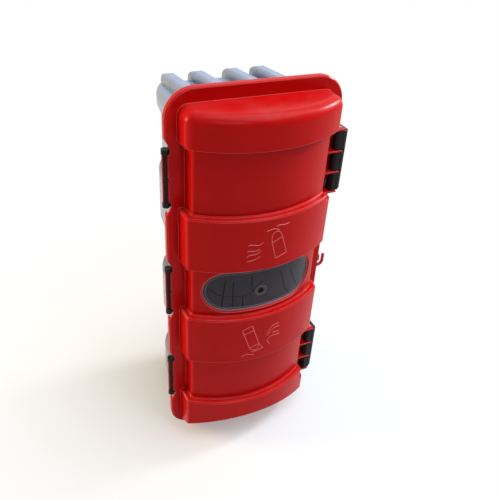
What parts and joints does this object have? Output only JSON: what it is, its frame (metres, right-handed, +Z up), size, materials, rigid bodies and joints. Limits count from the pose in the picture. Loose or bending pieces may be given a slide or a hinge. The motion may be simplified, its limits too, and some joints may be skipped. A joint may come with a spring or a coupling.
{
  "type": "fire extinguisher cabinet",
  "caption": "tall plastic box for one fire extinguisher, grey ribbed tub, red bowed door with window, side hinges and side latches",
  "frame": {"origin": "centre of the flat back face, on the wall plane", "axes": "X to the right, Y to the back into the wall, Z up; the door faces -Y"},
  "size_m": [0.3165, 0.27, 0.72],
  "materials": {
    "red_plastic": "semi gloss",
    "grey_plastic": "satin",
    "black_plastic": "satin",
    "smoked_pane": "gloss",
    "seal_rubber": "matte",
    "steel": "satin"
  },
  "bodies": {
    "cabinet": {"tub_shell": "grey_plastic", "rim_seal": "seal_rubber", "hinge_bracket_upper": "black_plastic", "hinge_bracket_middle": "black_plastic", "hinge_bracket_lower": "black_plastic", "latch_keeper_upper": "grey_plastic", "latch_keeper_lower": "grey_plastic"},
    "door": {"door_shell": "red_plastic", "window_pane": "smoked_pane", "seal_hook": "red_plastic", "latch_pin_upper": "steel", "latch_pin_lower": "steel"},
    "latch_upper": {"latch_lever_upper": "black_plastic"},
    "latch_lower": {"latch_lever_lower": "black_plastic"}
  },
  "joints": [
    {"name": "door_hinge", "type": "hinge", "parent": "cabinet", "child": "door", "pos_m": [-0.1485, -0.188, 0], "axis": [0, 0, -1], "range_deg": [0, 120]},
    {"name": "latch_upper_pivot", "type": "hinge", "parent": "door", "child": "latch_upper", "pos_m": [0.145, -0.204, 0.213], "axis": [0, 0, -1], "range_deg": [0, 60]},
    {"name": "latch_lower_pivot", "type": "hinge", "parent": "door", "child": "latch_lower", "pos_m": [0.145, -0.204, -0.226], "axis": [0, 0, -1], "range_deg": [0, 60]}
  ]
}
